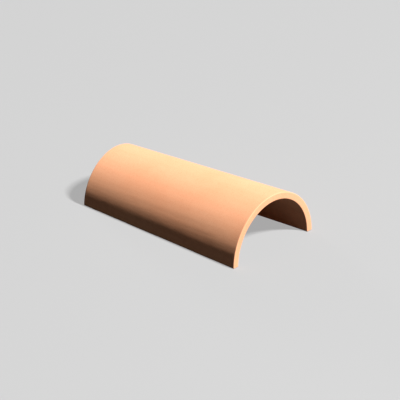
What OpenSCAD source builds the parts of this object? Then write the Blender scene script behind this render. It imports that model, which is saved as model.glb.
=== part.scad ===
// Clay roof tile of the half-round barrel kind: one fired piece that tapers from tail to head.
// +Y runs up the roof, from the wide tail to the narrow head, and +Z is up.
// The origin lies on the plane that the two feet rest on, under the middle of the tile.

/* [Barrel] */
// Length from the tail end to the head end
tile_length = 350; // [250:1:500]
// Outside width over the feet at the wide tail end
tail_width = 200; // [150:1:260]
// Outside width over the feet at the narrow head end
head_width = 162; // [110:1:220]
// Thickness of the clay wall
wall = 12; // [8:0.5:20]

/* [Eased edges] */
// Radius of the eased edges round both ends
end_ease = 1.5; // [0.5:0.1:3]
// Radius of the eased edges along both feet
foot_ease = 1.5; // [0.5:0.1:3]

/* [Hidden] */
// Angle between the barrel's side and its axis
taper = atan((tail_width - head_width) / 2 / tile_length);
// Straight steps in the quarter round of an eased edge
ease_steps = 5;
// Facets in a full turn of the barrel
barrel_facets = 180;
// Colour of the fired clay
clay = "#f5b78a";

// Outside radius of the barrel at a place along the tile
function barrel_radius(y) = (tail_width + head_width) / 4 - y * tan(taper);

// Points of a round about a centre, from one direction to another
function ease_arc(centre, radius, from, to) = [
    for (step = [0 : ease_steps])
        let (angle = from + (to - from) * step / ease_steps)
            centre + radius * [cos(angle), sin(angle)]
];

// Lengthwise section of the wall, with X outwards from the axis and Y up the roof
module wall_outline() {
    y_ease = tile_length / 2 - end_ease;
    inset = end_ease / cos(taper);
    tail_outer = [barrel_radius(-y_ease) - inset, -y_ease];
    head_outer = [barrel_radius(y_ease) - inset, y_ease];
    head_inner = [barrel_radius(y_ease) - wall + inset, y_ease];
    tail_inner = [barrel_radius(-y_ease) - wall + inset, -y_ease];
    polygon(concat(
        ease_arc(tail_outer, end_ease, -90, taper),
        ease_arc(head_outer, end_ease, taper, 90),
        ease_arc(head_inner, end_ease, 90, 180 + taper),
        ease_arc(tail_inner, end_ease, 180 + taper, 270)
    ));
}

// The wall turned half way round the axis, so that both feet stand on Z = 0
module half_barrel() {
    rotate([90, 0, 180])
        rotate_extrude(angle = 180, $fn = barrel_facets)
            wall_outline();
}

// Section of what is shaved off a foot's edge at the origin, where the clay lies above and on the -X side.
// The first and last straight steps run on past the clay, so that the cut leaves no ledge.
module shaving() {
    arc = ease_arc([-foot_ease, foot_ease], foot_ease, -90, 0);
    polygon(concat(
        [2 * arc[0] - arc[1]],
        [for (step = [1 : ease_steps - 1]) arc[step]],
        [2 * arc[ease_steps] - arc[ease_steps - 1]],
        [[foot_ease, -foot_ease]]
    ));
}

// A shaving along the +X foot's edge at a given radius, as long as the slanting edge and past both ends
module foot_shaving(radius, inward) {
    translate([radius, 0, 0])
        rotate([0, 0, taper])
            mirror([inward ? 1 : 0, 0, 0])
                rotate([90, 0, 0])
                    linear_extrude(height = tile_length / cos(taper) + 2 * wall, center = true)
                        shaving();
}

module barrel_tile() {
    color(clay)
        difference() {
            half_barrel();
            for (side = [0, 1])
                mirror([side, 0, 0]) {
                    foot_shaving(barrel_radius(0), inward = false);
                    foot_shaving(barrel_radius(0) - wall, inward = true);
                }
        }
}

barrel_tile();
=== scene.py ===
# %% [markdown]
# A barrel roof tile in fired clay
#
# A barrel tile is half of a tapered clay pipe. Its wide end, the tail, points down the roof and
# covers the narrow head of the next tile. It is fired in one piece, so the frame holds one solid,
# at its real size. That solid could be coloured as it is, but up close its mesh shows facets, and
# it has none of the slow waves of clay that was worked by hand. So this lesson models a finer mesh
# in its place with Blender's own tools, gives the mesh a fired finish, and then adds a pale floor,
# soft light and a camera.

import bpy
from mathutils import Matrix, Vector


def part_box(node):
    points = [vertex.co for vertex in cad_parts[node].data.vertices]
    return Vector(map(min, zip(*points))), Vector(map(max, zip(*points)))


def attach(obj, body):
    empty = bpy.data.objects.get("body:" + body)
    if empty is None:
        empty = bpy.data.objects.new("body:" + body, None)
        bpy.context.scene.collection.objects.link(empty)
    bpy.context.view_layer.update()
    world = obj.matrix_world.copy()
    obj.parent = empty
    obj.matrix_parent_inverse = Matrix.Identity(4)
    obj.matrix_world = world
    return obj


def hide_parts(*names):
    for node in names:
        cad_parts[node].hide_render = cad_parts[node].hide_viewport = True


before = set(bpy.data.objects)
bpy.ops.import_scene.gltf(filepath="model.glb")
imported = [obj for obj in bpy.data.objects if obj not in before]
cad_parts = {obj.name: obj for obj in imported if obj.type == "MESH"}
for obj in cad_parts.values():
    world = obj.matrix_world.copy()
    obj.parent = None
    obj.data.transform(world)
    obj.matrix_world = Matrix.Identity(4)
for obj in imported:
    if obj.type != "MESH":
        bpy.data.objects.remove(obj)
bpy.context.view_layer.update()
MM = 0.001


def in_mm(corner):
    """The three numbers of a corner, which are metres, as millimetres for printing."""
    return [round(float(value) / MM, 1) for value in corner]


print("frame nodes:", sorted(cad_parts))

# %% [markdown]
# Measuring before modelling
#
# A barrel tile is described by its length, its width at each end and the thickness of its wall.
# Those could be typed in, but then the mesh would miss the solid as soon as the solid changed, so
# they are measured on it. Its box gives the length. For the rest, one plumb line is dropped on the
# crown from above and another is sent up from below, both a little to one side, where they can't
# fall between two faces. Each meets a face that runs along the barrel, and the corners of that face
# give the radius and how fast it falls towards the head.

# %% Measure the barrel
import math

from mathutils import Vector

NODE = "barrel_tile"
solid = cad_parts[NODE]
low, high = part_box(NODE)
length = high.y - low.y


def barrel_line(height, direction):
    """Radius at mid length, and its fall in each metre of Y, of the face that a plumb line meets."""
    beside_crown = Vector((length / 1000, 0, height))
    *_, face = solid.ray_cast(beside_crown, Vector((0, 0, direction)))
    corners = [solid.data.vertices[index].co for index in solid.data.polygons[face].vertices]
    places = sorted((corner.y, math.hypot(corner.x, corner.z)) for corner in corners)
    (tail_y, tail_radius), (head_y, head_radius) = places[0], places[-1]
    fall = (tail_radius - head_radius) / (head_y - tail_y)
    return tail_radius + fall * tail_y, fall


mid_radius, slope = barrel_line(2 * high.z, -1)
inner_radius, _ = barrel_line(0, 1)
wall = mid_radius - inner_radius
print(f"length {length / MM:.1f} mm, wall {wall / MM:.2f} mm")
print(f"outer radius {mid_radius / MM:.2f} mm at mid length, falling {slope / MM:.1f} mm in each metre")

# %% [markdown]
# The outline of the wall
#
# The tile is made from a slab of clay that is laid over a tapered former, so its wall is the same
# thickness all round. A cylinder cut in half would give the curve, but neither the wall nor the
# taper. An outline turned about the barrel's axis gives all three, so the outline comes first. It
# is one plane, as wide as the wall and as long as the tile, with its tail moved out from the axis
# and its head moved in. It goes without a UV map, because the finish won't read one.

# %% Draw the outline of the wall
import bmesh
import bpy


def select_where(kind, test):
    """In edit mode, select the points or edges that pass a test, and return how many did."""
    bpy.ops.mesh.select_mode(type=kind)
    bpy.ops.mesh.select_all(action="DESELECT")
    mesh = bmesh.from_edit_mesh(bpy.context.object.data)
    elements = {"VERT": mesh.verts, "EDGE": mesh.edges}[kind]
    chosen = [element for element in elements if test(element)]
    for element in chosen:
        element.select_set(True)
    mesh.select_flush_mode()
    bmesh.update_edit_mesh(bpy.context.object.data)
    return len(chosen)


half_taper = slope * length / 2
bpy.ops.object.select_all(action="DESELECT")
bpy.ops.mesh.primitive_plane_add(size=1, calc_uvs=False)
tile = bpy.context.object
tile.name = "clay_tile"
bpy.ops.object.mode_set(mode="EDIT")
bpy.ops.transform.resize(value=(wall, length, 1), center_override=(0, 0, 0))
bpy.ops.transform.translate(value=(mid_radius - wall / 2, 0, 0))
select_where("VERT", lambda point: point.co.y < 0)
bpy.ops.transform.translate(value=(half_taper, 0, 0))
select_where("VERT", lambda point: point.co.y > 0)
bpy.ops.transform.translate(value=(-half_taper, 0, 0))
outline = bmesh.from_edit_mesh(tile.data)
print("corners of the wall in mm:", [in_mm(corner.co) for corner in outline.verts])

# %% [markdown]
# Turning the barrel
#
# On the bench the slab is bent over the former. A Simple Deform modifier could bend a flat slab
# here too, but it wouldn't keep to the radii that were measured. Spin does: it sweeps the outline
# about the Y axis, by half a turn, from one foot over the crown to the other. The steps are under a
# degree each, so that the barrel looks round up close. Spin can leave doubled points and turn faces
# inwards, so the points are merged and the normals are worked out again.

# %% Spin the outline into half a barrel
TURN_STEPS = 200
bpy.ops.mesh.select_all(action="SELECT")
bpy.ops.mesh.spin(steps=TURN_STEPS, angle=math.pi, center=(0, 0, 0), axis=(0, 1, 0))
bpy.ops.mesh.select_all(action="SELECT")
bpy.ops.mesh.remove_doubles(threshold=0.001 * MM)
bpy.ops.mesh.normals_make_consistent(inside=False)
bpy.ops.object.mode_set(mode="OBJECT")
print("half barrel:", len(tile.data.vertices), "points,", len(tile.data.polygons), "faces")

# %% [markdown]
# Soft arrises
#
# An arris is the edge where two faces meet. Wet clay that was cut with a wire is wiped with a damp
# hand, so none of its arrises is sharp. They could be picked one by one and bevelled, but a Bevel
# modifier that is limited by angle finds them by itself. The ends and the feet turn by a right
# angle, and the steps of the barrel by less than a degree, so any limit between the two will do.

# %% Round the arrises


def apply_modifier(kind, **settings):
    """Add a modifier to the tile, give it its settings and apply it."""
    bpy.ops.object.modifier_add(type=kind)
    modifier = tile.modifiers[-1]
    for name, value in settings.items():
        setattr(modifier, name, value)
    bpy.ops.object.modifier_apply(modifier=modifier.name)


arris = wall / 8
apply_modifier("BEVEL", width=arris, segments=5, limit_method="ANGLE", angle_limit=math.radians(60))
print(f"arrises rounded by {arris / MM:.2f} mm:", len(tile.data.polygons), "faces")

# %% [markdown]
# A mesh fine enough for clay
#
# So far each face of the barrel runs from end to end, and a wave in the clay needs points along the
# length too. A Remesh modifier would add them, but it would also blur the arrises. Subdividing
# chosen edges keeps every line where it is. The lengthwise edges are known by their direction and
# are cut into pieces of about 2 mm, in two rounds, because one makes at most a hundred cuts. The
# edges that cross the cut ends and the feet are then cut a few times.

# %% Cut the long faces
FIRST_CUTS = 9
SECOND_CUTS = 16
END_CUTS = 4


def is_lengthwise(edge):
    """Whether an edge runs along the barrel, and isn't one of the short ones in a rounded arris."""
    span = edge.verts[1].co - edge.verts[0].co
    return abs(span.y) > 0.8 * span.length and span.length > 2 * arris


def crosses_wall(edge):
    """Whether an edge runs through the wall, and isn't one of the short ones round the barrel."""
    span = edge.verts[1].co - edge.verts[0].co
    return abs(span.y) < 0.1 * span.length and span.length > wall / 2


bpy.ops.object.mode_set(mode="EDIT")
for cuts in (FIRST_CUTS, SECOND_CUTS):
    print("lengthwise edges:", select_where("EDGE", is_lengthwise))
    bpy.ops.mesh.subdivide(number_cuts=cuts)
print("edges across the ends and feet:", select_where("EDGE", crosses_wall))
bpy.ops.mesh.subdivide(number_cuts=END_CUTS)
bpy.ops.object.mode_set(mode="OBJECT")
print("fine mesh:", len(tile.data.polygons), "faces")

# %% [markdown]
# The waves of a hand-made surface
#
# A slab that is stroked smooth by hand is never quite true. It has slow waves that run every way,
# and faint ridges that run with the hand, from tail to head. They could be sculpted with a brush,
# or left to the material, but only moved points show in the outline. So two Displace modifiers move
# them by Clouds textures, and an empty that is long in Y stretches the texture of the ridges. Both
# stay well under half a millimetre, so the tile keeps its size.

# %% Add slow waves and stroke ridges
RIDGE_STRETCH = 14


def displace(name, size, height, guide=None):
    """Move the surface in and out by clouds of a size, stretched as a guide object is."""
    clouds = bpy.data.textures.new(name, type="CLOUDS")
    clouds.noise_scale = size
    clouds.noise_depth = 2
    stretch = {"texture_coords": "OBJECT", "texture_coords_object": guide} if guide else {}
    apply_modifier("DISPLACE", texture=clouds, strength=height, **stretch)
    bpy.data.textures.remove(clouds)
    print(f"{name}: {size / MM:.0f} mm wide, {height / MM:.2f} mm high")


displace("slow_waves", size=50 * MM, height=0.3 * MM)
bpy.ops.object.empty_add()
stroke = bpy.context.object
stroke.scale = (1, RIDGE_STRETCH, 1)
bpy.ops.object.select_all(action="DESELECT")
tile.select_set(True)
bpy.context.view_layer.objects.active = tile
bpy.context.view_layer.update()
displace("stroke_ridges", size=11 * MM, height=0.15 * MM, guide=stroke)
bpy.data.objects.remove(stroke)

# %% [markdown]
# Feet that stand flat
#
# The feet are trimmed on a board, so the tile stands without rocking, but the waves have moved
# their points too. A vertex group could have held them still, but the rounds beside them would then
# dip below the floor. Scaling everything near the floor to nothing in Z sets both right at once.
# Smooth shading comes last, because the mesh now has enough points to carry it round the arrises.

# %% Flatten the feet
near_floor = arris / 8
bpy.ops.object.mode_set(mode="EDIT")
foot_points = select_where("VERT", lambda point: point.co.z < near_floor)
bpy.ops.transform.resize(value=(1, 1, 0), center_override=(0, 0, 0))
bpy.ops.object.mode_set(mode="OBJECT")
bpy.ops.object.shade_smooth()
print("points set back on the floor:", foot_points)

# %% [markdown]
# One clay, worked in three ways
#
# The outside was stroked smooth, the inside lay on a sanded former, and the ends and feet were cut.
# Three materials would meet in hard lines, and it is one clay, so one material serves and the mesh
# tells it where each kind of work shows. Each point keeps three numbers from 0 to 1: whether it
# lies on a cut, whether it lies inside, and how near it is to an arris, which is where two faces
# are close at once.

# %% Mark the cuts, the inside and the arrises
import numpy as np

points = np.empty(3 * len(tile.data.vertices), np.float32)
tile.data.vertices.foreach_get("co", points)
x, y, z = points.reshape(-1, 3).T
from_outside = mid_radius - slope * y - np.hypot(x, z)
from_inside = wall - from_outside
from_end = length / 2 - np.abs(y)
nearest, next_nearest = np.sort(np.stack([from_outside, from_inside, from_end, z]).clip(0), axis=0)[:2]


def fade(distance, start, end):
    """0 up to the start, 1 from the end on, with a smooth rise between them."""
    share = np.clip((distance - start) / (end - start), 0, 1)
    return share * share * (3 - 2 * share)


cut = 1 - fade(np.minimum(from_end, z), start=0.2 * arris, end=1.2 * arris)
inside = (1 - cut) * fade(from_outside, start=0.3 * wall, end=0.9 * wall)
worn = 1 - fade(np.hypot(nearest, next_nearest), start=0.4 * arris, end=2.2 * arris)
for name, amounts in (("cut", cut), ("inside", inside), ("worn", worn)):
    mark = tile.data.attributes.new(name, "FLOAT", "POINT")
    mark.data.foreach_set("value", amounts.astype(np.float32))
    print(f"{name}: {np.count_nonzero(amounts > 0.5)} of {len(amounts)} points")

# %% [markdown]
# Building a finish from nodes
#
# A finish is a recipe of patterns, and its nodes could be laid out by hand in the shader editor.
# Here two small helpers add them to the tree that is being worked on, so that the recipe can be
# read from top to bottom and changed by changing a number.

# %% Start the finish
material = bpy.data.materials.new("terracotta")
material.use_nodes = True
tile.data.materials.append(material)
tree = material.node_tree


def feed(socket, value):
    """Link a socket to another node's output, or set it to a plain value."""
    if isinstance(value, bpy.types.NodeSocket):
        tree.links.new(value, socket)
    else:
        socket.default_value = value


def node(kind, inputs=None, **settings):
    """Add a node to the tree, set its properties and feed its inputs."""
    made = tree.nodes.new("ShaderNode" + kind)
    for name, value in settings.items():
        setattr(made, name, value)
    for name, value in (inputs or {}).items():
        feed(made.inputs[name], value)
    return made


print("material:", material.name)

# %% [markdown]
# Where each kind of work shows
#
# The material has to know what the mesh was told. It could guess from the direction of each face,
# but an Attribute node reads the very numbers that were kept at the points, and blends them from
# point to point. What is neither inside nor cut is the stroked outside.

# %% Read the marks


def math_of(operation, *values):
    return node("Math", dict(enumerate(values)), operation=operation).outputs["Value"]


cut_here = node("Attribute", attribute_name="cut").outputs["Fac"]
inside_here = node("Attribute", attribute_name="inside").outputs["Fac"]
worn_here = node("Attribute", attribute_name="worn").outputs["Fac"]
outside_here = math_of("SUBTRACT", 1.0, math_of("MAXIMUM", inside_here, cut_here))
print("marks on the mesh:", [mark.name for mark in tile.data.attributes if mark.data_type == "FLOAT"])

# %% [markdown]
# Coordinates that follow the hand
#
# Stroke marks run from tail to head, and on a tapered barrel they draw together. The Object
# coordinates of a pattern are metres on the tile itself. Stretched in Y alone, they would run the
# marks off the sides, and an unwrapped UV map would need a seam. Instead X and Z are divided by the
# radius at each place along the tile, which straightens the cone to a cylinder, and a small scale
# in Y then stretches the pattern. The wire that cut the ends was pulled down through the clay, so
# the pattern of a cut is stretched in Z.

# %% Coordinates along the strokes and along the wire
STROKE_STRETCH = 30
WIRE_STRETCH = 12


def scaled(vector, scale):
    return node("VectorMath", {0: vector, 1: scale}, operation="MULTIPLY").outputs["Vector"]


place = node("TexCoord").outputs["Object"]
along = node("SeparateXYZ", {"Vector": place}).outputs["Y"]
radius_here = math_of("MULTIPLY_ADD", along, -slope, mid_radius)
straighten = math_of("DIVIDE", mid_radius, radius_here)
stroke_scale = node("CombineXYZ", {"X": straighten, "Y": 1 / STROKE_STRETCH, "Z": straighten})
stroke_place = scaled(place, stroke_scale.outputs["Vector"])
wire_place = scaled(place, (1, 1, 1 / WIRE_STRETCH))
print("strokes are", STROKE_STRETCH, "times as long as wide, and wire marks", WIRE_STRETCH, "times")

# %% [markdown]
# The patterns in the clay
#
# A close look at fired clay shows several things at once: tones that drift over a hand's breadth,
# broad strokes, a few thin lines where a grain was dragged along, the grain of the clay itself,
# pores, and a pit here and there where a grain fell out. A picture of clay wrapped round the tile
# would repeat and blur, so each is worked out instead. A Noise texture gives what runs on. A
# Voronoi texture gives what comes one by one, and the random colour of its cells decides which of
# them hold a spot and how large it is. A cell without one gets a radius too small to show.

# %% Make the patterns


def spread(value, start, end, least=0.0, most=1.0):
    """A smooth rise from least, where the value is at the start, to most, where it is at the end."""
    inputs = {"Value": value, "From Min": start, "From Max": end, "To Min": least, "To Max": most}
    return node("MapRange", inputs, interpolation_type="SMOOTHSTEP").outputs["Result"]


def noise(vector, size, detail=2.0, roughness=0.5):
    inputs = {"Vector": vector, "Scale": 1 / size, "Detail": detail, "Roughness": roughness}
    return node("TexNoise", inputs).outputs["Fac"]


def spots(spacing, share, radius):
    """Round spots in a share of the cells, 1 in the middle and 0 outside, of radii up to a largest."""
    cells = node("TexVoronoi", {"Vector": place, "Scale": 1 / spacing})
    lot = node("SeparateColor", {"Color": cells.outputs["Color"]}).outputs["Red"]
    reach = spread(lot, start=1 - share, end=1.0, least=0.001, most=radius / spacing)
    return spread(math_of("DIVIDE", cells.outputs["Distance"], reach), start=1.0, end=0.4)


drift = noise(place, size=90 * MM, detail=3)
strokes = noise(stroke_place, size=7.7 * MM, detail=3)
drag_lines = spread(noise(stroke_place, size=1.4 * MM, detail=1), start=0.62, end=0.80)
wire_marks = noise(wire_place, size=1.4 * MM, detail=3, roughness=0.6)
grain = noise(place, size=1.2 * MM)
pores = spots(spacing=2.4 * MM, share=0.7, radius=0.7 * MM)
pits = spots(spacing=9 * MM, share=0.4, radius=1.25 * MM)
iron_specks = spots(spacing=6.2 * MM, share=0.45, radius=0.75 * MM)
sand_grains = spots(spacing=1.1 * MM, share=0.6, radius=0.6 * MM)
print("nodes so far:", len(tree.nodes))

# %% [markdown]
# The colour of the clay
#
# Pale terracotta is a clay with little iron, fired warm: a peach ground, a little paler or redder
# where the kiln was cooler or hotter. A single colour would look like plastic, so the patterns tint
# it in layers, as thin washes. Strokes are redder, grain is rusty, cuts and worn arrises are paler,
# sand from the former sticks to the inside, and specks of iron are dark. The pores are darkened with
# the same rusty colour as painted shade, for the shade that falls in them. The tile is new and clean,
# so most washes take a small share. The grain can take a large one, because from a few steps away
# it is too fine to see.

# %% Mix the colour


def product(first, second):
    return math_of("MULTIPLY", first, second)


def tint(ground, colour, share):
    """A ground colour, mixed with a share of another."""
    return node("Mix", {"A": ground, "B": colour, "Factor": share}, data_type="RGBA").outputs["Result"]


PEACH = (0.98, 0.472, 0.258, 1)
BUFF = (0.99, 0.510, 0.289, 1)
ROSE = (0.96, 0.433, 0.229, 1)
# A rusty colour: the clay's own tone in the grain, and painted shade in the pores.
RUST_AND_PORE_SHADE = (0.84, 0.310, 0.150, 1)
IRON = (0.50, 0.200, 0.100, 1)
SAND = (0.93, 0.600, 0.395, 1)
washes = (
    (BUFF, spread(drift, start=0.42, end=0.68, most=0.5)),
    (ROSE, spread(drift, start=0.50, end=0.32, most=0.5)),
    (ROSE, product(outside_here, spread(strokes, start=0.45, end=0.75, most=0.35))),
    (RUST_AND_PORE_SHADE, spread(grain, start=0.48, end=0.78, most=0.8)),
    # Painted shade: the pores are darkened with the rusty colour for the shade that falls in them.
    (RUST_AND_PORE_SHADE, product(pores, 0.5)),
    (BUFF, product(cut_here, spread(wire_marks, start=0.40, end=0.70, most=0.5))),
    (SAND, product(inside_here, product(sand_grains, 0.4))),
    (IRON, product(iron_specks, 0.45)),
    (BUFF, product(worn_here, spread(grain, start=0.20, end=0.70, least=0.15, most=0.5))),
)
clay = PEACH
for colour, share in washes:
    clay = tint(clay, colour, share)
shader = tree.nodes["Principled BSDF"]
feed(shader.inputs["Base Color"], clay)
print("washes over the peach ground:", len(washes))

# %% [markdown]
# The feel of the clay
#
# A thumb feels grain, pores and pits everywhere, ridges on the outside, the drag of the wire on a
# cut and sand inside. These are too fine to model as mesh, so a Bump node turns them into the way
# the light falls. Its height is the sum of the patterns, each times its own height in millimetres,
# below zero for a hollow. Fired clay is matte all over, and most of all where it lay on sand.

# %% Set the bump and the roughness
heights_mm = (
    (grain, 0.10),
    (pores, -0.05),
    (pits, -0.20),
    (product(outside_here, strokes), 0.10),
    (product(outside_here, drag_lines), -0.035),
    (product(cut_here, wire_marks), 0.25),
    (product(inside_here, sand_grains), 0.20),
)
height = 0.0
for pattern, rise in heights_mm:
    height = math_of("MULTIPLY_ADD", pattern, rise, height)
bump = node("Bump", {"Height": height, "Strength": 1.0, "Distance": MM})
feed(shader.inputs["Normal"], bump.outputs["Normal"])

matte = spread(grain, start=0.3, end=0.7, least=0.74, most=0.84)
feed(shader.inputs["Roughness"], math_of("MULTIPLY_ADD", inside_here, 0.12, matte))
shader.inputs["Specular IOR Level"].default_value = 0.15
shader.inputs["Diffuse Roughness"].default_value = 0.15
print("patterns in the bump:", len(heights_mm), "and nodes in all:", len(tree.nodes))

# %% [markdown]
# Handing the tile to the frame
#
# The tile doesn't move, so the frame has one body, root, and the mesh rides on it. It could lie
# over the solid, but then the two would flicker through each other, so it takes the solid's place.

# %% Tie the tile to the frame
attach(tile, "root")
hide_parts(NODE)
tile.data.calc_loop_triangles()
print("triangles in the tile:", len(tile.data.loop_triangles))

# %% [markdown]
# A pale floor
#
# The floor is there to carry the tile and catch its shadow. A plain white one would throw so much
# light back up that the shade under the barrel would turn pale. The Light Path node tells the rays
# that see the floor from those that only bounce off it, so the floor is pale to the first and dark
# to the second. A glow that only the first can see keeps the shadow pale.

# %% Make the floor
FLOOR_SEEN = 0.17
FLOOR_GLOW = 0.39
FLOOR_BOUNCE = 0.04


def grey(level):
    return (level, level, level, 1)


def seen_rays():
    """1 for rays from the camera, from reflections and through glass, and 0 for light that bounces."""
    path = node("LightPath").outputs
    glints = math_of("MAXIMUM", path["Is Glossy Ray"], path["Is Transmission Ray"])
    return math_of("MAXIMUM", path["Is Camera Ray"], glints)


bpy.ops.object.select_all(action="DESELECT")
bpy.ops.mesh.primitive_plane_add(size=60)
floor = bpy.context.object
floor.name = "floor"

floor_material = bpy.data.materials.new("pale_floor")
floor_material.use_nodes = True
floor.data.materials.append(floor_material)
tree = floor_material.node_tree
shader = tree.nodes["Principled BSDF"]
shader.inputs["Roughness"].default_value = 0.9
shader.inputs["Specular IOR Level"].default_value = 0.1
shader.inputs["Emission Color"].default_value = grey(FLOOR_GLOW)
feed(shader.inputs["Emission Strength"], seen_rays())
feed(shader.inputs["Base Color"], tint(grey(FLOOR_BOUNCE), grey(FLOOR_SEEN), seen_rays()))
print("floor colour:", FLOOR_SEEN, "when seen,", FLOOR_BOUNCE, "when light bounces")

# %% [markdown]
# Soft boxes
#
# The key light is over the tail end, a little to the right, and it shapes the barrel: the crown and
# the cut end are bright, and the near flank falls into shade. A Sun light could do that, but its
# shadow would be hard, so the key is a soft box, far enough off to fall evenly along the tile. It
# is a strip: narrow across the barrel, it draws the edge of the shade on the flank crisply, and
# tall, it blurs the far end of the shadow. A weaker box behind lights the head end, which the key
# leaves dark. A white surface that faces a soft box gets a level of the power over the square of pi
# times the distance, so the power is worked out from the level that is wanted. The key's is set so
# that the flank, which it meets at a slant, shows the clay about as it is written.

# %% Place the soft boxes
KEY_TOWARDS = Vector((0.145, -0.63, 0.77)).normalized()
KEY_LEVEL = 2.05
BACK_TOWARDS = Vector((0.35, 0.93, 0.12)).normalized()
BACK_LEVEL = 0.34


def soft_box(name, towards, distance, size, level):
    """A light of a width and height, at a distance from the tile, with the power for a level."""
    aim = towards.to_track_quat("Z", "Y").to_euler()
    bpy.ops.object.light_add(type="AREA", location=distance * towards, rotation=aim)
    box = bpy.context.object
    box.name = name
    box.data.shape = "RECTANGLE"
    box.data.size, box.data.size_y = size
    box.data.energy = level * (math.pi * distance) ** 2
    print(f"{name}: {box.data.energy:.0f} W at {distance} m gives a level of {level}")


soft_box("key_box", KEY_TOWARDS, distance=12, size=(0.3, 1.6), level=KEY_LEVEL)
soft_box("back_box", BACK_TOWARDS, distance=5, size=(1.0, 1.0), level=BACK_LEVEL)

# %% [markdown]
# The room around
#
# A studio's walls send back a little light from every side, which keeps the deepest shade from
# going black. Modelled walls would cast shadows and cost time, so a faint even sky stands for them.
# Where it is seen, in a low view or a reflection, it takes the brightness of the lit floor, so that
# no horizon shows.

# %% Light the room
ROOM_LEVEL = 0.016
scene = bpy.context.scene
scene.world = bpy.data.worlds.new("studio")
scene.world.use_nodes = True
tree = scene.world.node_tree
horizon = FLOOR_GLOW + FLOOR_SEEN * KEY_LEVEL * KEY_TOWARDS.z
feed(tree.nodes["Background"].inputs["Color"], tint(grey(ROOM_LEVEL), grey(horizon), seen_rays()))
print(f"room light {ROOM_LEVEL}, seen as {horizon:.2f}")

# %% [markdown]
# The camera
#
# The tile is seen from its left and a little above, with the cut tail end nearest. Lines that run
# away from the viewer hardly draw together. An orthographic camera would do for that, but a far
# camera with a very long lens keeps a trace of depth. Its angles, distance and aim were found by
# fitting the edges of the tile.

# %% Set the camera
AZIMUTH = math.radians(-48.95)
ELEVATION = math.radians(25.78)
DISTANCE = 18.643
AIM_RIGHT = 10.3 * MM
AIM_UP = 32.2 * MM
LENS = 1000

away = Vector((math.sin(AZIMUTH), -math.cos(AZIMUTH), math.tan(ELEVATION))).normalized()
right = Vector((math.cos(AZIMUTH), math.sin(AZIMUTH), 0))
eye = DISTANCE * away + AIM_RIGHT * right + AIM_UP * away.cross(right)
bpy.ops.object.camera_add(location=eye, rotation=away.to_track_quat("Z", "Y").to_euler())
scene.camera = bpy.context.object
scene.camera.data.lens = LENS
scene.view_settings.view_transform = "Standard"
print("camera at", [round(value, 3) for value in eye])
